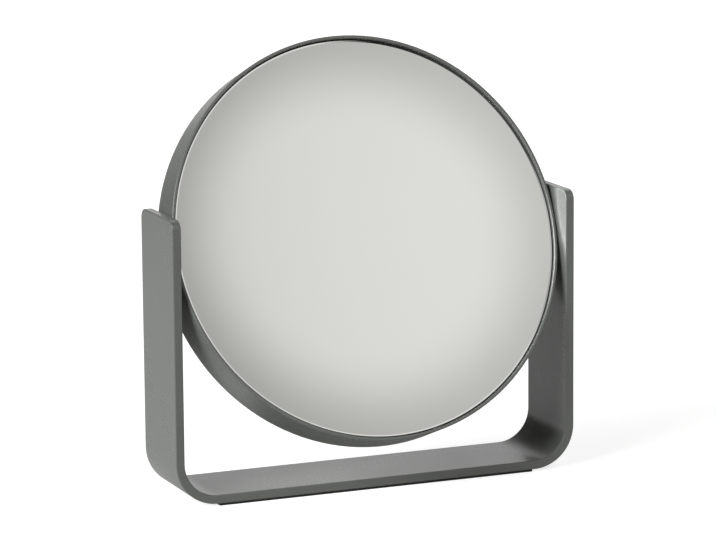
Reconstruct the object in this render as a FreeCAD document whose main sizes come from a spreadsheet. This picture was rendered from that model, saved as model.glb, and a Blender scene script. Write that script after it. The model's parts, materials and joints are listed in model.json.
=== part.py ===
# Tilting magnifying table mirror: a round two-sided mirror on friction pivots in a bent flat-bar stand.
# Millimetres. +Z is up, X runs from arm to arm, the magnifying side faces -Y, and the origin is at the
# middle of the foot on the table.
import FreeCAD, Part
import math
import os

import Sketcher

Vector = FreeCAD.Vector

# Driving dimensions: name, value, meaning
SIZES = [
    ("stand_width", 190.0, "across the outside of the two arms"),
    ("bar_depth", 40.0, "width of the flat bar, front to back"),
    ("bar_thickness", 4.0, "thickness of the flat bar"),
    ("bend_radius", 15.0, "inside radius of the two bends at the foot"),
    ("arm_over_pivot", 18.7, "height of the arms above the pivot line"),
    ("arm_corner_radius", 4.5, "rounded corners at the top of each arm"),
    ("bar_edge_round", 0.5, "softened edges of the bar"),
    ("blind_wall", 1.0, "bar left outside the blind pivot hole"),
    ("foot_gap", 11.8, "free height between the foot and the mirror's swing"),
    ("pad_thickness", 1.0, "anti-slip pad under the foot"),
    ("pad_side_inset", 0.5, "pad edge behind the bar's long edges"),
    ("pad_end_inset", 1.0, "pad end short of the bend"),
    ("pad_corner_radius", 1.0, "corners of the pad"),
    ("tilt_angle", 20.5, "mirror leaning back, degrees"),
    ("side_gap", 0.4, "between the hoop and each arm"),
    ("ring_depth", 21.0, "hoop, front to back"),
    ("ring_wall", 1.4, "hoop wall"),
    ("ring_outer_round", 0.6, "outer edges of the hoop"),
    ("ring_inner_round", 0.3, "inner edges of the hoop"),
    ("glass_gap", 0.5, "between the hoop and the glass edge"),
    ("glass_recess", 2.0, "glass edge behind the hoop's rim"),
    ("glass_bevel", 0.8, "ground bevel round each glass"),
    ("magnifier_curvature", 600.0, "radius of the concave glass"),
    ("magnifier_thickness", 2.5, "concave glass"),
    ("plain_thickness", 3.0, "flat glass"),
    ("tape_thickness", 1.0, "foam bonding tape"),
    ("tape_width", 8.0, "foam bonding tape, across its ring"),
    ("tape_inset", 1.5, "tape edge inside the glass edge"),
    ("bond_gap", 0.05, "between bonded faces"),
    ("carrier_fit", 0.15, "between the carrier and the hoop"),
    ("carrier_width", 13.0, "carrier, across its ring"),
    ("carrier_wall", 2.0, "carrier flanges and outer wall"),
    ("rib_thickness", 1.5, "ribs inside the carrier"),
    ("rib_count", 24, "ribs round the carrier"),
    ("rib_setback", 2.0, "ribs behind the carrier's inner edge"),
    ("boss_depth", 5.0, "pivot boss, along the pivot line"),
    ("boss_side", 3.5, "boss beyond each side of its window"),
    ("window_clearance", 1.5, "window round the friction stack"),
    ("shoulder_diameter", 3.5, "pivot screw shoulder"),
    ("running_clearance", 0.05, "shoulder in its bush, and sliding faces"),
    ("loose_clearance", 0.1, "discs and washers on the shoulder"),
    ("bush_wall", 0.6, "pivot bush wall"),
    ("bush_fit", 0.05, "bush in hoop and carrier"),
    ("flange_rim", 2.5, "bush flange beyond its barrel"),
    ("flange_seat", 0.35, "flat seat for the flange, sunk in the hoop"),
    ("disc_diameter", 6.4, "friction disc and backing washer"),
    ("disc_thickness", 0.8, "friction disc"),
    ("washer_thickness", 0.8, "backing washer"),
    ("spring_thickness", 0.5, "conical spring washer, metal"),
    ("spring_height", 0.9, "conical spring washer, pressed height"),
    ("head_diameter", 5.5, "pivot screw head and spring washer"),
    ("head_height", 2.8, "pivot screw head"),
    ("socket_width", 2.0, "hexagon socket across flats"),
    ("socket_depth", 1.6, "hexagon socket"),
    ("thread_diameter", 2.5, "pivot screw thread"),
    ("thread_clearance", 0.05, "plain thread in its insert"),
    ("insert_wall", 2.0, "threaded insert round the thread"),
    ("insert_groove", 0.4, "grip groove round the insert"),
    ("insert_fit", 0.02, "insert in its blind hole"),
]

# Lines of the stand
HALF_WIDTH = "(sizes.stand_width / 2)"
ARM_FACE = f"({HALF_WIDTH} - sizes.bar_thickness)"
BEND_OUTSIDE = "(sizes.bend_radius + sizes.bar_thickness)"
FLAT_HALF = f"({HALF_WIDTH} - {BEND_OUTSIDE})"
FOOT_BOTTOM = "sizes.pad_thickness"
FOOT_TOP = f"({FOOT_BOTTOM} + sizes.bar_thickness)"
BEND_CENTRE_Z = f"({FOOT_BOTTOM} + {BEND_OUTSIDE})"

# Lines of the mirror, about the pivot: radius from its axis, and depth with the front negative
RING_R = f"({ARM_FACE} - sizes.side_gap)"
RING_INSIDE = f"({RING_R} - sizes.ring_wall)"
RING_HALF = "(sizes.ring_depth / 2)"
GLASS_R = f"({RING_INSIDE} - sizes.glass_gap)"
BEVEL_R = f"({GLASS_R} - sizes.glass_bevel)"
SWING_R = f"sqrt({RING_R}^2 + {RING_HALF}^2)"
PIVOT_Z = f"({FOOT_TOP} + sizes.foot_gap + {SWING_R})"
ARM_TOP = f"({PIVOT_Z} + sizes.arm_over_pivot)"

# The concave glass, its tape and its seat are parts of spheres about one centre in front of the mirror
CURVE_CENTRE = f"(sizes.glass_recess - {RING_HALF} - sqrt(sizes.magnifier_curvature^2 - {GLASS_R}^2))"
GLASS_FRONT = "sizes.magnifier_curvature"
GLASS_BACK = f"({GLASS_FRONT} + sizes.magnifier_thickness)"
TAPE_FRONT = f"({GLASS_BACK} + sizes.bond_gap)"
TAPE_BACK = f"({TAPE_FRONT} + sizes.tape_thickness)"
SEAT_FRONT = f"({TAPE_BACK} + sizes.bond_gap)"
SEAT_BACK = f"({SEAT_FRONT} + sizes.carrier_wall)"
TAPE_OUTSIDE = f"({GLASS_R} - sizes.tape_inset)"
TAPE_INSIDE = f"({TAPE_OUTSIDE} - sizes.tape_width)"

# The flat glass behind
PLAIN_OUTER = f"({RING_HALF} - sizes.glass_recess)"
PLAIN_INNER = f"({PLAIN_OUTER} - sizes.plain_thickness)"
REAR_TAPE_OUTER = f"({PLAIN_INNER} - sizes.bond_gap)"
REAR_TAPE_INNER = f"({REAR_TAPE_OUTER} - sizes.tape_thickness)"
REAR_SEAT = f"({REAR_TAPE_INNER} - sizes.bond_gap)"

CARRIER_R = f"({RING_INSIDE} - sizes.carrier_fit)"
CARRIER_INSIDE = f"({CARRIER_R} - sizes.carrier_width)"
CARRIER_WALL_INSIDE = f"({CARRIER_R} - sizes.carrier_wall)"

# Stations along a pivot, measured outwards from the arm's inner face
FLANGE_OUTER = "(-sizes.running_clearance)"
FLANGE_INNER = "(-sizes.side_gap - sizes.flange_seat)"
BOSS_FACE = "(-sizes.side_gap - sizes.ring_wall - sizes.carrier_fit - sizes.boss_depth)"
DISC_INNER = f"({BOSS_FACE} - sizes.disc_thickness)"
WASHER_OUTER = f"({DISC_INNER} - sizes.running_clearance)"
WASHER_INNER = f"({WASHER_OUTER} - sizes.washer_thickness)"
HEAD_UNDER = f"({WASHER_INNER} - sizes.spring_height)"
HEAD_TOP = f"({HEAD_UNDER} - sizes.head_height)"
INSERT_DEPTH = "(sizes.bar_thickness - sizes.blind_wall)"

# Radii about the pivot line
SHOULDER_R = "(sizes.shoulder_diameter / 2)"
BORE_R = f"({SHOULDER_R} + sizes.running_clearance)"
LOOSE_R = f"({SHOULDER_R} + sizes.loose_clearance)"
BUSH_R = f"({BORE_R} + sizes.bush_wall)"
BUSH_HOLE_R = f"({BUSH_R} + sizes.bush_fit)"
FLANGE_R = f"({BUSH_R} + sizes.flange_rim)"
SEAT_R = f"({FLANGE_R} + sizes.bush_fit)"
THREAD_R = "(sizes.thread_diameter / 2)"
INSERT_R = f"({THREAD_R} + sizes.insert_wall)"
INSERT_HOLE_R = f"({INSERT_R} + sizes.insert_fit)"
DISC_R = "(sizes.disc_diameter / 2)"
HEAD_R = "(sizes.head_diameter / 2)"

# Windows in carrier and tapes that give the friction stacks room, between two distances from the middle
BOSS_INSIDE = f"({ARM_FACE} + {BOSS_FACE})"
WINDOW_START = f"({CARRIER_INSIDE} - sizes.window_clearance)"
WINDOW_HALF = f"({DISC_R} + sizes.window_clearance)"
BOSS_HALF = f"({WINDOW_HALF} + sizes.boss_side)"


def depth_on(sphere, radius):
    """Depth of a sphere about the curve's centre, at a radius from the mirror's axis."""
    return f"({CURVE_CENTRE} + sqrt({sphere}^2 - {radius}^2))"


doc = FreeCAD.newDocument("table_mirror")
sheet = doc.addObject("Spreadsheet::Sheet", "sizes")
for row, (alias, value, meaning) in enumerate(SIZES, start=1):
    sheet.set(f"A{row}", alias)
    sheet.set(f"B{row}", str(value))
    sheet.setAlias(f"B{row}", alias)
    sheet.set(f"C{row}", meaning)
doc.recompute()

bodies = []


def number(expression):
    """Present value of an expression of the sheet."""
    return float(sheet.evalExpression(str(expression)))


def new_body(label):
    body = doc.addObject("PartDesign::Body", label)
    body.Label = label
    bodies.append(body)
    return body


def new_sketch(body, role, offset=None):
    """Sketch on one of the body's origin planes, moved along its normal by an expression."""
    sketch = body.newObject("Sketcher::SketchObject", f"{body.Name}_sketch")
    plane = [item for item in body.Origin.OriginFeatures if item.Role == role][0]
    sketch.AttachmentSupport = [(plane, "")]
    sketch.MapMode = "FlatFace"
    if offset:
        sketch.setExpression("AttachmentOffset.Base.z", offset)
    return sketch


def bind(sketch, name, constraint, expression):
    index = sketch.addConstraint(constraint)
    sketch.renameConstraint(index, name)
    sketch.setExpression(f"Constraints.{name}", str(expression))


def arc_through(start, end, radius, side):
    """Arc of less than half a turn that bulges to the left (1) or right (-1) of start to end."""
    chord = end - start
    half = chord.Length / 2
    rise = radius - math.sqrt(radius ** 2 - half ** 2)
    left = Vector(-chord.y, chord.x, 0).normalize()
    return Part.Arc(start, (start + end) / 2 + left * rise * side, end)


def add_outline(sketch, corners):
    """Closed outline through corners (x, y) of expressions. A corner (x, y, radius, side) starts an arc."""
    prefix = f"g{sketch.GeometryCount}_"
    points = [Vector(number(corner[0]), number(corner[1]), 0) for corner in corners]
    ends = []
    for index, corner in enumerate(corners):
        start = points[index]
        end = points[(index + 1) % len(points)]
        if len(corner) == 4:
            geometry = sketch.addGeometry(arc_through(start, end, number(corner[2]), corner[3]))
            bind(sketch, f"{prefix}radius{index}",
                 Sketcher.Constraint("Radius", geometry, number(corner[2])), corner[2])
        else:
            geometry = sketch.addGeometry(Part.LineSegment(start, end))
        starts_here = sketch.getPoint(geometry, 1).distanceToPoint(start) < 1e-6
        ends.append((geometry, 1, 2) if starts_here else (geometry, 2, 1))
    for index, (geometry, first, _) in enumerate(ends):
        before, _, last = ends[index - 1]
        sketch.addConstraint(Sketcher.Constraint("Coincident", before, last, geometry, first))
        for axis, kind in ((0, "DistanceX"), (1, "DistanceY")):
            bind(sketch, f"{prefix}{'xy'[axis]}{index}",
                 Sketcher.Constraint(kind, -1, 1, geometry, first, points[index][axis]), corners[index][axis])


def add_circle(sketch, x, y, radius):
    circle = Part.Circle(Vector(number(x), number(y), 0), Vector(0, 0, 1), number(radius))
    geometry = sketch.addGeometry(circle)
    prefix = f"g{geometry}_"
    bind(sketch, f"{prefix}radius", Sketcher.Constraint("Radius", geometry, number(radius)), radius)
    for name, kind, place in (("x", "DistanceX", x), ("y", "DistanceY", y)):
        bind(sketch, f"{prefix}{name}", Sketcher.Constraint(kind, -1, 1, geometry, 3, number(place)), place)


def rectangle(left, bottom, right, top):
    return [(left, bottom), (right, bottom), (right, top), (left, top)]


def add_pair(sketch, near_x, bottom, far_x, top):
    """Rectangle at the right pivot, and its mirror image at the left one."""
    add_outline(sketch, rectangle(near_x, bottom, far_x, top))
    add_outline(sketch, rectangle(f"-{far_x}", bottom, f"-{near_x}", top))


def pad(body, sketch, length, symmetric=True):
    feature = body.newObject("PartDesign::Pad", f"{body.Name}_pad")
    feature.Profile = sketch
    feature.setExpression("Length", length)
    feature.SideType = "Symmetric" if symmetric else "One side"
    doc.recompute()
    return feature


def revolve(body, sketch, axis):
    """Full turn about the sketch's own H_Axis or V_Axis."""
    feature = body.newObject("PartDesign::Revolution", f"{body.Name}_revolution")
    feature.Profile = sketch
    feature.ReferenceAxis = (sketch, [axis])
    feature.Angle = 360
    doc.recompute()
    return feature


def check_cut(body, volume_before):
    doc.recompute()
    if body.Shape.Volume > volume_before - 1e-6:
        raise RuntimeError(f"a cut in {body.Label} removes nothing")


def pocket(body, sketch, length, symmetric=True, backwards=False):
    before = body.Shape.Volume
    feature = body.newObject("PartDesign::Pocket", f"{body.Name}_pocket")
    feature.Profile = sketch
    feature.setExpression("Length", length)
    feature.SideType = "Symmetric" if symmetric else "One side"
    feature.Reversed = backwards
    check_cut(body, before)
    return feature


def groove(body, sketch, axis):
    before = body.Shape.Volume
    feature = body.newObject("PartDesign::Groove", f"{body.Name}_groove")
    feature.Profile = sketch
    feature.ReferenceAxis = (sketch, [axis])
    feature.Angle = 360
    check_cut(body, before)
    return feature


def fillet(body, base, radius, wanted):
    """Round the edges of base that the test wanted picks."""
    names = [f"Edge{n}" for n, edge in enumerate(base.Shape.Edges, start=1) if wanted(edge)]
    if not names:
        raise RuntimeError(f"no edge to round in {body.Label}")
    feature = body.newObject("PartDesign::Fillet", f"{body.Name}_fillet")
    feature.Base = (base, names)
    feature.setExpression("Radius", radius)
    doc.recompute()
    return feature


def near(value, *targets):
    return any(abs(value - target) < 1e-4 for target in targets)


def tilt_with_mirror(body):
    """Put a piece of the mirror on the pivot line, leaning back."""
    body.Placement = FreeCAD.Placement(Vector(), FreeCAD.Rotation(Vector(-1, 0, 0), 1))
    body.setExpression("Placement.Base.z", PIVOT_Z)
    body.setExpression("Placement.Rotation.Angle", "sizes.tilt_angle")


def put_on_pivot(body, side):
    """Put a turned piece on the pivot at the right (1) or left (-1) arm, its axis pointing outwards."""
    body.Placement = FreeCAD.Placement(Vector(), FreeCAD.Rotation(Vector(0, 0, 1), 0 if side > 0 else 180))
    body.setExpression("Placement.Base.x", ARM_FACE if side > 0 else f"-{ARM_FACE}")
    body.setExpression("Placement.Base.z", PIVOT_Z)


def turned(label, side, corners):
    """Piece turned about a pivot, from a half section of (station, radius) corners."""
    body = new_body(label)
    sketch = new_sketch(body, "XY_Plane")
    add_outline(sketch, corners)
    revolve(body, sketch, "H_Axis")
    put_on_pivot(body, side)
    return body


def mirror_disc(label, corners):
    """Piece turned about the mirror's own axis, from a half section of (radius, depth) corners."""
    body = new_body(label)
    sketch = new_sketch(body, "XY_Plane")
    add_outline(sketch, corners)
    revolve(body, sketch, "V_Axis")
    return body


def cut_windows(body):
    """Clear a piece of the mirror round both friction stacks, from front to back."""
    sketch = new_sketch(body, "XZ_Plane")
    add_pair(sketch, WINDOW_START, f"-{WINDOW_HALF}", BOSS_INSIDE, WINDOW_HALF)
    pocket(body, sketch, "2 * sizes.ring_depth")


def make_stand_frame():
    """Flat bar bent into a U, with soft edges and a blind hole inside each arm."""
    body = new_body("stand_frame")
    sketch = new_sketch(body, "XZ_Plane")
    add_outline(sketch, [
        (f"-{HALF_WIDTH}", ARM_TOP),
        (f"-{HALF_WIDTH}", BEND_CENTRE_Z, BEND_OUTSIDE, -1),
        (f"-{FLAT_HALF}", FOOT_BOTTOM),
        (FLAT_HALF, FOOT_BOTTOM, BEND_OUTSIDE, -1),
        (HALF_WIDTH, BEND_CENTRE_Z),
        (HALF_WIDTH, ARM_TOP),
        (ARM_FACE, ARM_TOP),
        (ARM_FACE, BEND_CENTRE_Z, "sizes.bend_radius", 1),
        (FLAT_HALF, FOOT_TOP),
        (f"-{FLAT_HALF}", FOOT_TOP, "sizes.bend_radius", 1),
        (f"-{ARM_FACE}", BEND_CENTRE_Z),
        (f"-{ARM_FACE}", ARM_TOP),
    ])
    bar = pad(body, sketch, "sizes.bar_depth")
    half_depth = number("sizes.bar_depth") / 2
    top = number(ARM_TOP)

    def on_side_face(edge):
        return all(near(abs(vertex.Point.y), half_depth) for vertex in edge.Vertexes)

    def is_top_corner(edge):
        box = edge.BoundBox
        return near(box.ZMin, top) and near(abs(box.Center.y), half_depth) and box.YLength < 1e-4

    cornered = fillet(body, bar, "sizes.arm_corner_radius", is_top_corner)
    pivot_z = number(PIVOT_Z)

    def is_sharp(edge):
        box = edge.BoundBox
        round_arm_top = box.XLength < 1e-4 and box.ZMin > pivot_z
        return on_side_face(edge) or round_arm_top

    fillet(body, cornered, "sizes.bar_edge_round", is_sharp)
    holes = new_sketch(body, "YZ_Plane")
    add_circle(holes, "0", PIVOT_Z, INSERT_HOLE_R)
    pocket(body, holes, f"2 * ({ARM_FACE} + {INSERT_DEPTH})")


def make_base_pad():
    """Anti-slip pad stuck under the flat of the foot."""
    body = new_body("base_pad")
    half_depth = "(sizes.bar_depth / 2 - sizes.pad_side_inset)"
    half_length = f"({FLAT_HALF} - sizes.pad_end_inset)"
    sketch = new_sketch(body, "XY_Plane")
    add_outline(sketch, rectangle(f"-{half_length}", f"-{half_depth}", half_length, half_depth))
    slab = pad(body, sketch, "sizes.pad_thickness", symmetric=False)
    thickness = number("sizes.pad_thickness")
    fillet(body, slab, "sizes.pad_corner_radius", lambda edge: near(edge.BoundBox.ZLength, thickness))


def make_mirror_ring():
    """Hoop round both glasses, with a hole and a flat flange seat at each pivot."""
    body = mirror_disc("mirror_ring", rectangle(RING_INSIDE, f"-{RING_HALF}", RING_R, RING_HALF))
    hoop = body.Tip
    inside = number(RING_INSIDE)
    outside = number(RING_R)

    def rim_of(radius):
        return lambda edge: hasattr(edge.Curve, "Radius") and near(edge.Curve.Radius, radius)

    rounded = fillet(body, hoop, "sizes.ring_outer_round", rim_of(outside))
    fillet(body, rounded, "sizes.ring_inner_round", rim_of(inside))
    holes = new_sketch(body, "YZ_Plane")
    add_circle(holes, "0", "0", BUSH_HOLE_R)
    pocket(body, holes, f"2 * {RING_R}")
    seats = new_sketch(body, "XY_Plane")
    seat_floor = f"({ARM_FACE} + {FLANGE_INNER})"
    add_pair(seats, seat_floor, "0", HALF_WIDTH, SEAT_R)
    groove(body, seats, "H_Axis")
    tilt_with_mirror(body)


def make_carrier_ring():
    """Moulded channel ring: a seat for each glass, ribs between, and a boss with a window at each pivot."""
    flange = f"({REAR_SEAT} - sizes.carrier_wall)"
    body = mirror_disc("carrier_ring", [
        (CARRIER_INSIDE, depth_on(SEAT_FRONT, CARRIER_INSIDE), SEAT_FRONT, 1),
        (CARRIER_R, depth_on(SEAT_FRONT, CARRIER_R)),
        (CARRIER_R, REAR_SEAT),
        (CARRIER_INSIDE, REAR_SEAT),
        (CARRIER_INSIDE, flange),
        (CARRIER_WALL_INSIDE, flange),
        (CARRIER_WALL_INSIDE, depth_on(SEAT_BACK, CARRIER_WALL_INSIDE), SEAT_BACK, -1),
        (CARRIER_INSIDE, depth_on(SEAT_BACK, CARRIER_INSIDE)),
    ])
    half_wall = "sizes.carrier_wall / 2"
    rib_inside = f"({CARRIER_INSIDE} + sizes.rib_setback)"
    rib_outside = f"({CARRIER_WALL_INSIDE} + {half_wall})"
    rib_sketch = new_sketch(body, "XY_Plane")
    add_outline(rib_sketch, [
        (rib_inside, f"{depth_on(SEAT_BACK, rib_inside)} - {half_wall}"),
        (rib_outside, f"{depth_on(SEAT_BACK, rib_outside)} - {half_wall}"),
        (rib_outside, f"{flange} + {half_wall}"),
        (rib_inside, f"{flange} + {half_wall}"),
    ])
    rib = pad(body, rib_sketch, "sizes.rib_thickness")
    ribs = body.newObject("PartDesign::PolarPattern", "ribs")
    ribs.Originals = [rib]
    ribs.Axis = (rib_sketch, ["V_Axis"])
    ribs.Angle = 360
    ribs.setExpression("Occurrences", "sizes.rib_count")
    body.Tip = ribs
    doc.recompute()

    boss_sketch = new_sketch(body, "XY_Plane")
    boss_front = f"({depth_on(SEAT_BACK, BOSS_INSIDE)} - {half_wall})"
    boss_back = f"({flange} + {half_wall})"
    add_pair(boss_sketch, BOSS_INSIDE, boss_front, rib_outside, boss_back)
    pad(body, boss_sketch, f"2 * {BOSS_HALF}")
    cut_windows(body)
    bores = new_sketch(body, "YZ_Plane")
    add_circle(bores, "0", "0", BUSH_HOLE_R)
    pocket(body, bores, f"2 * {RING_R}")
    tilt_with_mirror(body)


def make_magnifying_glass():
    """Concave glass with a ground bevel round its front."""
    bevel_depth = depth_on(GLASS_FRONT, BEVEL_R)
    body = mirror_disc("magnifying_glass", [
        ("0", depth_on(GLASS_FRONT, "0"), GLASS_FRONT, 1),
        (BEVEL_R, bevel_depth),
        (GLASS_R, f"{bevel_depth} + sizes.glass_bevel"),
        (GLASS_R, depth_on(GLASS_BACK, GLASS_R), GLASS_BACK, -1),
        ("0", depth_on(GLASS_BACK, "0")),
    ])
    tilt_with_mirror(body)


def make_plain_glass():
    """Flat glass with a ground bevel round its outer face."""
    body = mirror_disc("plain_glass", [
        ("0", PLAIN_INNER),
        (GLASS_R, PLAIN_INNER),
        (GLASS_R, f"{PLAIN_OUTER} - sizes.glass_bevel"),
        (BEVEL_R, PLAIN_OUTER),
        ("0", PLAIN_OUTER),
    ])
    tilt_with_mirror(body)


def make_tapes():
    """Foam tape rings, notched at the pivots: one follows the concave glass, one is flat."""
    front = mirror_disc("front_tape", [
        (TAPE_INSIDE, depth_on(TAPE_FRONT, TAPE_INSIDE), TAPE_FRONT, 1),
        (TAPE_OUTSIDE, depth_on(TAPE_FRONT, TAPE_OUTSIDE)),
        (TAPE_OUTSIDE, depth_on(TAPE_BACK, TAPE_OUTSIDE), TAPE_BACK, -1),
        (TAPE_INSIDE, depth_on(TAPE_BACK, TAPE_INSIDE)),
    ])
    rear = mirror_disc("rear_tape", rectangle(TAPE_INSIDE, REAR_TAPE_INNER, TAPE_OUTSIDE, REAR_TAPE_OUTER))
    for tape in (front, rear):
        cut_windows(tape)
        tilt_with_mirror(tape)


def make_arm_insert(name, side):
    """Threaded insert pressed in the arm's blind hole, with a grip groove round it."""
    groove_r = f"({INSERT_R} - sizes.insert_groove)"
    third = f"{INSERT_DEPTH} / 3"
    turned(f"{name}_arm_insert", side, [
        ("0", THREAD_R),
        (INSERT_DEPTH, THREAD_R),
        (INSERT_DEPTH, INSERT_R),
        (f"2 * {third}", INSERT_R),
        (f"2 * {third}", groove_r),
        (third, groove_r),
        (third, INSERT_R),
        ("0", INSERT_R),
    ])


def make_pivot_screw(name, side):
    """Shoulder screw: head inside the hoop, thread in the arm's insert."""
    thread = f"({THREAD_R} - sizes.thread_clearance)"
    tip = f"({INSERT_DEPTH} - sizes.thread_clearance)"
    body = turned(f"{name}_pivot_screw", side, [
        (HEAD_TOP, "0"),
        (tip, "0"),
        (tip, thread),
        ("0", thread),
        ("0", SHOULDER_R),
        (HEAD_UNDER, SHOULDER_R),
        (HEAD_UNDER, HEAD_R),
        (HEAD_TOP, HEAD_R),
    ])
    socket = new_sketch(body, "YZ_Plane", HEAD_TOP)
    corner_r = "sizes.socket_width / sqrt(3)"
    turns = [f"{60 * corner} deg" for corner in range(6)]
    add_outline(socket, [(f"{corner_r} * cos({turn})", f"{corner_r} * sin({turn})") for turn in turns])
    pocket(body, socket, "sizes.socket_depth", symmetric=False, backwards=True)


def make_pivot_bush(name, side):
    """Flanged bush through hoop and carrier: the flange keeps the hoop off the arm."""
    inner_end = f"({BOSS_FACE} + sizes.running_clearance)"
    turned(f"{name}_pivot_bush", side, [
        (inner_end, BORE_R),
        (FLANGE_OUTER, BORE_R),
        (FLANGE_OUTER, FLANGE_R),
        (FLANGE_INNER, FLANGE_R),
        (FLANGE_INNER, BUSH_R),
        (inner_end, BUSH_R),
    ])


def make_friction_stack(name, side):
    """Friction disc on the boss, backing washer, and conical spring washer under the screw head."""
    turned(f"{name}_friction_disc", side, rectangle(DISC_INNER, LOOSE_R, BOSS_FACE, DISC_R))
    turned(f"{name}_backing_washer", side, rectangle(WASHER_INNER, LOOSE_R, WASHER_OUTER, DISC_R))
    turned(f"{name}_spring_washer", side, [
        (HEAD_UNDER, LOOSE_R),
        (f"{HEAD_UNDER} + sizes.spring_thickness", LOOSE_R),
        (WASHER_INNER, HEAD_R),
        (f"{WASHER_INNER} - sizes.spring_thickness", HEAD_R),
    ])


make_stand_frame()
make_base_pad()
make_mirror_ring()
make_carrier_ring()
make_magnifying_glass()
make_plain_glass()
make_tapes()
for side_name, side_sign in (("left", -1), ("right", 1)):
    make_arm_insert(side_name, side_sign)
    make_pivot_screw(side_name, side_sign)
    make_pivot_bush(side_name, side_sign)
    make_friction_stack(side_name, side_sign)
doc.recompute()

for item in doc.Objects:
    if "Invalid" in item.State or "Error" in item.State:
        raise RuntimeError(f"{item.Label} failed: {item.State}")
for body in bodies:
    if body.Shape.isNull() or not body.Shape.isValid() or len(body.Shape.Solids) != 1:
        raise RuntimeError(f"{body.Label} is not one valid solid")

os.makedirs("parts", exist_ok=True)
for body in bodies:
    body.Shape.exportStep(f"parts/{body.Label}.step")
    print(f"{body.Label:24s} {body.Shape.Volume / 1000:9.3f} cm3")
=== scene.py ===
# Looks of a tilting magnifying table mirror: satin olive-grey stand and hoop, silvered glasses, rubber pad.
# Metres. +Z is up, X runs from arm to arm, and the magnifying side faces -Y.
import json
import math

import bmesh
import bpy
from mathutils import Matrix, Vector


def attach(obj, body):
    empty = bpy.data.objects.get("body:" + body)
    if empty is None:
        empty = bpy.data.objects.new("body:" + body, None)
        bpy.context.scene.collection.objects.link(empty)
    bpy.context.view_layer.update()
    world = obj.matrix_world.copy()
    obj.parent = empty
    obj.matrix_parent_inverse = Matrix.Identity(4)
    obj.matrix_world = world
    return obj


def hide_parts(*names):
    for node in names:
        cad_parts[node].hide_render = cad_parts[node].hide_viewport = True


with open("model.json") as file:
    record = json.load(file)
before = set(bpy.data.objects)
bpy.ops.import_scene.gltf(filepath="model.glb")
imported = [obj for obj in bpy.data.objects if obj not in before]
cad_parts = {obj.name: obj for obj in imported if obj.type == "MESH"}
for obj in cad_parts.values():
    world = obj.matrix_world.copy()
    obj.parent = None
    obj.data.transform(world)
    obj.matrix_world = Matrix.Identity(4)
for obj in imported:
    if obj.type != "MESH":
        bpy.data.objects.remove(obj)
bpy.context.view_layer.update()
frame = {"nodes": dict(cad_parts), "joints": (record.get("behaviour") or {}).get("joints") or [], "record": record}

NODES = frame["nodes"]
PIVOT = Vector(frame["joints"][0]["pos_m"])

# Camera: where it looks, from which side, how far away, and its lens
IMAGE_WIDTH = 716
FOCAL_PIXELS = 3835.8
CAMERA_TARGET = Vector((-0.00114, 0, 0.09484))
CAMERA_AZIMUTH = math.radians(-22.57)
CAMERA_ELEVATION = math.radians(10.805)
CAMERA_ROLL = math.radians(-0.472)
CAMERA_DISTANCE = 1.6931
SENSOR_WIDTH = 36.0

# Studio light, as radiance: soft round patches with azimuth, elevation and half width in degrees, and level
PATCHES = [
    # Soft box at the left
    (-71, 28, 22, 13.2),
    (-70, 48, 24, 0.4),
    (-90, 66, 24, 0.55),
    (-90, 8, 24, 0.35),
    # Pale wall behind at the right
    (155, 44, 24, 1.8),
    (130, 6, 24, 1.65),
    (155, 6, 24, 1.06),
    (178, 8, 20, 0.3),
    # Weak fill from the front
    (-4, 32, 13, 0.4),
    (-15, 12, 35, 0.09),
]
# Panel that the concave glass faces: a sheet that is brighter to one side, with a glow in its middle
PANEL_COLOUR = (1.0, 0.992, 0.956)
PANEL_AZIMUTH = math.radians(25.4)
PANEL_ELEVATION = math.radians(27.25)
SHEET_LEVEL = 0.525
# Angles from the panel's middle between which the sheet fades out
SHEET_EDGES = (math.radians(16), math.radians(24))
# Azimuth, elevation and half width of the patch that shades the sheet
SHEET_SIDE = (math.radians(1), math.radians(30), math.radians(60))
GLOW_LEVEL = 0.26
# Half width and height of the glow, as sines of the angles from the panel's middle
GLOW_HALF_WIDTH = 0.245
GLOW_HALF_HEIGHT = 0.208
# Shares of the glow's half width and height between which it fades out
GLOW_EDGES = (0.55, 1.15)
# Bright border round the panel, open towards the camera, that the bevel of the glass shows as a white line
BORDER_LEVEL = 0.7
# Angles from the panel's middle between which the border fades in and out again
BORDER_EDGES = [math.radians(angle) for angle in (18, 22, 30, 34)]
# Azimuth and elevation towards which the border lies
BORDER_SIDE = (math.radians(53.5), math.radians(33))
# Places between which the border's ends fade, as sines of the angle towards that side
BORDER_ENDS = (-0.26, -0.12)
# Pale floor. Its paint fades out over FLOOR_BACK, behind the object, so that reflections end there.
# Its glow for the camera rises from the first level to the second, so that it stays white
FLOOR_HALF = 4.0
FLOOR_COLOUR = (0.6, 0.6, 0.6)
FLOOR_BACK = (0.55, 1.15)
FLOOR_SEEN = (0.78, 1.2)
FLOOR_REFLECTED = 0.2

# Concave glass
MAGNIFIER_CURVATURE = 0.600
MAGNIFIER_THICKNESS = 0.0025
GLASS_BEVEL = 0.0008
GLASS_ARRIS = 0.0002
BEVEL_TURN = math.radians(14)
GLASS_RINGS = 40
GLASS_SEGMENTS = 256
SHARP_ANGLE = math.radians(5)

# Finishes: how patches and grain share a tone, and the haze on the silvering
PATCH_DETAIL = 3.0
GRAIN_DETAIL = 1.0
PATCH_SHARE = 0.5
TONE_RANGE = (0.3, 0.7)
HAZE_SCALE = 45.0
HAZE_DETAIL = 4.0
HAZE_RANGE = (0.35, 0.75)
HAZE_ROUGHNESS = (0.0, 0.02)
SILVER_DARK = (0.915, 0.92, 0.915)
SILVER_LIGHT = (0.93, 0.935, 0.93)

# Plain colours of light and floor
WHITE = (1, 1, 1, 1)
BLACK = (0, 0, 0, 1)


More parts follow.
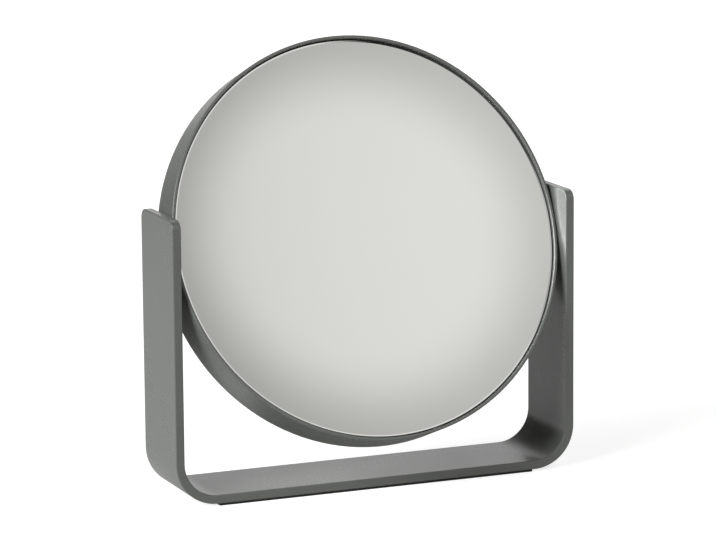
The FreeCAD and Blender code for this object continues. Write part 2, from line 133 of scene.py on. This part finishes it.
def bearing(azimuth, elevation):
    """Unit vector towards a place seen at this azimuth and elevation from the object."""
    flat = math.cos(elevation)
    return Vector((math.sin(azimuth) * flat, -math.cos(azimuth) * flat, math.sin(elevation)))


class Nodes:
    """Node tree being written: add nodes, link sockets."""

    def __init__(self, tree):
        self.tree = tree
        self.tree.nodes.clear()

    def add(self, kind, **settings):
        node = self.tree.nodes.new(kind)
        for name, value in settings.items():
            setattr(node, name, value)
        return node

    def link(self, source, target):
        self.tree.links.new(source, target)

    def put(self, socket, value):
        """Set a socket to a number or colour, or link it to another socket."""
        if isinstance(value, bpy.types.NodeSocket):
            self.link(value, socket)
        else:
            socket.default_value = value

    def maths(self, operation, first, second=0.0):
        node = self.add("ShaderNodeMath", operation=operation)
        self.put(node.inputs[0], first)
        self.put(node.inputs[1], second)
        return node.outputs[0]

    def dot(self, vector, direction):
        node = self.add("ShaderNodeVectorMath", operation="DOT_PRODUCT")
        self.link(vector, node.inputs[0])
        node.inputs[1].default_value = direction
        return node.outputs["Value"]

    def ramp(self, value, start, end, low=0.0, high=1.0, smooth="SMOOTHSTEP"):
        node = self.add("ShaderNodeMapRange", interpolation_type=smooth)
        for socket, item in zip(node.inputs, (value, start, end, low, high)):
            self.put(socket, item)
        return node.outputs["Result"]

    def noise(self, coordinates, scale, detail):
        node = self.add("ShaderNodeTexNoise")
        self.link(coordinates, node.inputs["Vector"])
        node.inputs["Scale"].default_value = scale
        node.inputs["Detail"].default_value = detail
        return node.outputs["Fac"]

    def mix_colour(self, factor, first, second):
        node = self.add("ShaderNodeMix", data_type="RGBA")
        self.put(node.inputs["Factor"], factor)
        self.put(node.inputs["A"], first)
        self.put(node.inputs["B"], second)
        return node.outputs["Result"]

    def bump(self, height, distance):
        node = self.add("ShaderNodeBump")
        node.inputs["Distance"].default_value = distance
        self.link(height, node.inputs["Height"])
        return node.outputs["Normal"]


def new_material(name):
    """New material, its nodes, its shader and the object's own coordinates in metres."""
    material = bpy.data.materials.new(name)
    material.use_nodes = True
    nodes = Nodes(material.node_tree)
    shader = nodes.add("ShaderNodeBsdfPrincipled")
    output = nodes.add("ShaderNodeOutputMaterial")
    nodes.link(shader.outputs["BSDF"], output.inputs["Surface"])
    place = nodes.add("ShaderNodeTexCoord").outputs["Object"]
    return material, nodes, shader, place


def mottled(name, dark, light, patch, grain, grain_height, roughness, metallic=0.0):
    """Solid finish with a colour that drifts in patches and a fine grain, both sizes in metres."""
    material, nodes, shader, place = new_material(name)
    patches = nodes.noise(place, 1 / patch, PATCH_DETAIL)
    grains = nodes.noise(place, 1 / grain, GRAIN_DETAIL)
    tone = nodes.maths("MULTIPLY_ADD", grains, 1 - PATCH_SHARE)
    nodes.link(nodes.maths("MULTIPLY", patches, PATCH_SHARE), tone.node.inputs[2])
    nodes.link(nodes.mix_colour(tone, (*dark, 1), (*light, 1)), shader.inputs["Base Color"])
    nodes.link(nodes.ramp(tone, *TONE_RANGE, *roughness), shader.inputs["Roughness"])
    nodes.link(nodes.bump(grains, grain_height), shader.inputs["Normal"])
    shader.inputs["Metallic"].default_value = metallic
    return material


def make_paint():
    return mottled("satin_paint", dark=(0.147, 0.154, 0.144), light=(0.176, 0.184, 0.172),
                   patch=0.03, grain=0.0004, grain_height=0.000005, roughness=(0.26, 0.34))


def make_rubber():
    return mottled("black_rubber", dark=(0.014, 0.014, 0.014), light=(0.024, 0.024, 0.025),
                   patch=0.01, grain=0.0005, grain_height=0.00004, roughness=(0.75, 0.9))


def make_steel():
    return mottled("plated_steel", dark=(0.48, 0.48, 0.49), light=(0.60, 0.60, 0.61),
                   patch=0.002, grain=0.0002, grain_height=0.000004, roughness=(0.25, 0.4), metallic=1.0)


def make_nylon():
    return mottled("black_nylon", dark=(0.016, 0.016, 0.017), light=(0.026, 0.026, 0.027),
                   patch=0.003, grain=0.0003, grain_height=0.00001, roughness=(0.45, 0.6))


def make_moulding():
    return mottled("moulded_plastic", dark=(0.026, 0.026, 0.027), light=(0.036, 0.036, 0.037),
                   patch=0.015, grain=0.0004, grain_height=0.00002, roughness=(0.5, 0.65))


def make_foam():
    return mottled("foam_tape", dark=(0.50, 0.50, 0.48), light=(0.66, 0.66, 0.63),
                   patch=0.002, grain=0.0006, grain_height=0.0001, roughness=(0.85, 0.95))


def make_mirror():
    """Silvered glass: nearly perfect, with the faintest haze."""
    material, nodes, shader, place = new_material("silvered_glass")
    haze = nodes.noise(place, HAZE_SCALE, HAZE_DETAIL)
    silver = nodes.mix_colour(haze, (*SILVER_DARK, 1), (*SILVER_LIGHT, 1))
    nodes.link(silver, shader.inputs["Base Color"])
    nodes.link(nodes.ramp(haze, *HAZE_RANGE, *HAZE_ROUGHNESS), shader.inputs["Roughness"])
    shader.inputs["Metallic"].default_value = 1.0
    return material


def assign(material, objects):
    """Make this the only material of each object."""
    for item in objects:
        item.data.materials.clear()
        item.data.materials.append(material)


def mirror_axis():
    """Direction through the mirror from front to back, from the flat glass's largest facet."""
    facet = max(NODES["plain_glass"].data.polygons, key=lambda face: face.area)
    return facet.normal if facet.normal.y > 0 else -facet.normal


def lathe(name, profile, axis, segments):
    """Solid of revolution about the mirror's axis. Its profile of (radius, depth) starts and ends there."""
    side = Vector((1, 0, 0))
    third = axis.cross(side)
    turns = [2 * math.pi * step / segments for step in range(segments)]
    spokes = [side * math.cos(turn) + third * math.sin(turn) for turn in turns]
    mesh = bmesh.new()
    rings = []
    for radius, depth in profile:
        centre = PIVOT + axis * depth
        if radius == 0:
            rings.append([mesh.verts.new(centre)])
        else:
            rings.append([mesh.verts.new(centre + spoke * radius) for spoke in spokes])
    for inner, outer in zip(rings, rings[1:]):
        for step in range(segments):
            after = (step + 1) % segments
            corners = [inner[step % len(inner)], outer[step % len(outer)],
                       outer[after % len(outer)], inner[after % len(inner)]]
            mesh.faces.new(list(dict.fromkeys(corners)))
    bmesh.ops.recalc_face_normals(mesh, faces=mesh.faces)
    data = bpy.data.meshes.new(name)
    mesh.to_mesh(data)
    mesh.free()
    data.shade_smooth()
    data.set_sharp_from_angle(angle=SHARP_ANGLE)
    piece = bpy.data.objects.new(name, data)
    bpy.context.scene.collection.objects.link(piece)
    return piece


def make_magnifier(axis):
    """Concave glass, finer than the solid it stands for.

    Seen through the ground bevel, the silvering behind it looks turned inwards, so the bevel's outer edge
    rises. A small arris breaks that edge.
    """
    corners = [vertex.co - PIVOT for vertex in NODES["magnifying_glass"].data.vertices]
    back = max(corner.dot(axis) for corner in corners)
    edge = max(corner.x for corner in corners)
    centre = back - MAGNIFIER_THICKNESS - MAGNIFIER_CURVATURE

    def depth_on(sphere, radius):
        return centre + math.sqrt(sphere ** 2 - radius ** 2)

    face = edge - GLASS_BEVEL
    outer_sphere = MAGNIFIER_CURVATURE + MAGNIFIER_THICKNESS
    stations = [step / GLASS_RINGS for step in range(GLASS_RINGS + 1)]
    front = [(face * share, depth_on(MAGNIFIER_CURVATURE, face * share)) for share in stations]
    behind = [(edge * share, depth_on(outer_sphere, edge * share)) for share in reversed(stations)]
    rise = front[-1][1] - (GLASS_BEVEL - GLASS_ARRIS) * math.tan(BEVEL_TURN)
    bevel = [(edge - GLASS_ARRIS, rise), (edge, rise + GLASS_ARRIS)]
    piece = lathe("magnifier", front + bevel + behind, axis, GLASS_SEGMENTS)
    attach(piece, "mirror")
    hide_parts("magnifying_glass")
    return piece


def make_floor():
    """Pale floor that keeps the object's shadow: white to the camera, and a soft grey in reflections."""
    half = FLOOR_HALF
    corners = [(-half, -half, 0), (half, -half, 0), (half, half, 0), (-half, half, 0)]
    data = bpy.data.meshes.new("floor")
    data.from_pydata(corners, [], [(0, 1, 2, 3)])
    floor = bpy.data.objects.new("floor", data)
    bpy.context.scene.collection.objects.link(floor)
    material = bpy.data.materials.new("pale_floor")
    material.use_nodes = True
    material.cycles.emission_sampling = "NONE"
    nodes = Nodes(material.node_tree)
    diffuse = nodes.add("ShaderNodeBsdfDiffuse")
    behind = nodes.dot(nodes.add("ShaderNodeTexCoord").outputs["Object"], (0, 1, 0))
    near = nodes.ramp(behind, *FLOOR_BACK, 1.0, 0.0)
    seen = nodes.ramp(behind, *FLOOR_BACK, *FLOOR_SEEN)
    nodes.link(nodes.mix_colour(near, BLACK, (*FLOOR_COLOUR, 1)), diffuse.inputs["Color"])
    glow = nodes.add("ShaderNodeEmission")
    path = nodes.add("ShaderNodeLightPath").outputs
    mirrored = nodes.maths("MAXIMUM", path["Is Glossy Ray"], path["Is Transmission Ray"])
    reflected = nodes.maths("MULTIPLY", near, FLOOR_REFLECTED)
    level = nodes.maths("MULTIPLY_ADD", path["Is Camera Ray"], seen)
    nodes.link(nodes.maths("MULTIPLY", mirrored, reflected), level.node.inputs[2])
    nodes.link(level, glow.inputs["Strength"])
    both = nodes.add("ShaderNodeAddShader")
    nodes.link(diffuse.outputs["BSDF"], both.inputs[0])
    nodes.link(glow.outputs["Emission"], both.inputs[1])
    output = nodes.add("ShaderNodeOutputMaterial")
    nodes.link(both.outputs["Shader"], output.inputs["Surface"])
    assign(material, [floor])


def patch_light(nodes, ray, azimuth, elevation, half_width, level):
    """Level of a round patch that fades out towards its edge, angles in radians."""
    facing = nodes.dot(ray, bearing(azimuth, elevation))
    return nodes.ramp(facing, math.cos(half_width), 1.0, 0.0, level)


def border_light(nodes, ray, ahead, facing):
    """Level of the border: a broad arc about the panel's middle."""
    first, second, third, last = [math.cos(angle) for angle in BORDER_EDGES]
    toward = bearing(*BORDER_SIDE)
    toward = (toward - ahead * toward.dot(ahead)).normalized()
    outside = nodes.ramp(facing, first, second)
    inside = nodes.ramp(facing, last, third)
    there = nodes.ramp(nodes.dot(ray, toward), *BORDER_ENDS, 0.0, BORDER_LEVEL)
    return nodes.maths("MULTIPLY", nodes.maths("MULTIPLY", outside, inside), there)


def panel_light(nodes, ray):
    """Level of the panel in front of the glass."""
    ahead = bearing(PANEL_AZIMUTH, PANEL_ELEVATION)
    across = Vector((math.cos(PANEL_AZIMUTH), math.sin(PANEL_AZIMUTH), 0))
    upward = across.cross(-ahead)
    facing = nodes.dot(ray, ahead)
    inside = nodes.ramp(facing, math.cos(SHEET_EDGES[1]), math.cos(SHEET_EDGES[0]))
    sheet = nodes.maths("MULTIPLY", patch_light(nodes, ray, *SHEET_SIDE, SHEET_LEVEL), inside)
    wide = nodes.maths("DIVIDE", nodes.dot(ray, across), GLOW_HALF_WIDTH)
    tall = nodes.maths("DIVIDE", nodes.dot(ray, upward), GLOW_HALF_HEIGHT)
    squares = nodes.maths("ADD", nodes.maths("POWER", wide, 2), nodes.maths("POWER", tall, 2))
    glow = nodes.ramp(nodes.maths("SQRT", squares), *GLOW_EDGES, GLOW_LEVEL, 0.0, "SMOOTHERSTEP")
    glow = nodes.maths("MULTIPLY", glow, nodes.maths("GREATER_THAN", facing, 0.0))
    return nodes.maths("ADD", nodes.maths("ADD", sheet, glow), border_light(nodes, ray, ahead, facing))


def make_world():
    """White studio: the camera sees plain white, and all other rays see the studio's soft light."""
    world = bpy.data.worlds.new("studio")
    bpy.context.scene.world = world
    world.use_nodes = True
    nodes = Nodes(world.node_tree)
    ray = nodes.add("ShaderNodeTexCoord").outputs["Generated"]
    around = 0.0
    for azimuth, elevation, half_width, level in PATCHES:
        angles = [math.radians(angle) for angle in (azimuth, elevation, half_width)]
        around = nodes.maths("ADD", around, patch_light(nodes, ray, *angles, level))
    panel = panel_light(nodes, ray)
    lit = nodes.add("ShaderNodeBackground")
    nodes.link(around, lit.inputs["Strength"])
    lit.inputs["Color"].default_value = WHITE
    faced = nodes.add("ShaderNodeBackground")
    nodes.link(panel, faced.inputs["Strength"])
    faced.inputs["Color"].default_value = (*PANEL_COLOUR, 1)
    studio = nodes.add("ShaderNodeAddShader")
    nodes.link(lit.outputs["Background"], studio.inputs[0])
    nodes.link(faced.outputs["Background"], studio.inputs[1])
    plain = nodes.add("ShaderNodeBackground")
    plain.inputs["Color"].default_value = WHITE
    choice = nodes.add("ShaderNodeMixShader")
    nodes.link(nodes.add("ShaderNodeLightPath").outputs["Is Camera Ray"], choice.inputs["Fac"])
    nodes.link(studio.outputs["Shader"], choice.inputs[1])
    nodes.link(plain.outputs["Background"], choice.inputs[2])
    output = nodes.add("ShaderNodeOutputWorld")
    nodes.link(choice.outputs["Shader"], output.inputs["Surface"])


def make_camera():
    """Camera that looks at the target from the photo's side."""
    back = bearing(CAMERA_AZIMUTH, CAMERA_ELEVATION)
    level = Vector((0, 0, 1)).cross(back).normalized()
    right = Matrix.Rotation(CAMERA_ROLL, 3, back) @ level
    axes = Matrix((right, back.cross(right), back)).transposed()
    data = bpy.data.cameras.new("camera")
    data.sensor_width = SENSOR_WIDTH
    data.lens = SENSOR_WIDTH * FOCAL_PIXELS / IMAGE_WIDTH
    camera = bpy.data.objects.new("camera", data)
    bpy.context.scene.collection.objects.link(camera)
    camera.matrix_world = Matrix.Translation(CAMERA_TARGET + back * CAMERA_DISTANCE) @ axes.to_4x4()
    bpy.context.scene.camera = camera


def nodes_of(slot):
    """Pieces of the CAD that the record gives this material slot."""
    return [NODES[part["node"]] for part in frame["record"]["subparts"] if part["material_slot"] == slot]


bpy.context.scene.view_settings.view_transform = "Standard"
# Light that the mirror throws on the stand stays sharp
bpy.context.scene.cycles.blur_glossy = 0.0
FINISHES = {
    "paint": make_paint(),
    "pad": make_rubber(),
    "mirror": make_mirror(),
    "steel": make_steel(),
    "nylon": make_nylon(),
    "moulding": make_moulding(),
    "foam": make_foam(),
}
for slot_name, finish in FINISHES.items():
    assign(finish, nodes_of(slot_name))
assign(FINISHES["mirror"], [make_magnifier(mirror_axis())])

make_floor()
make_world()
make_camera()
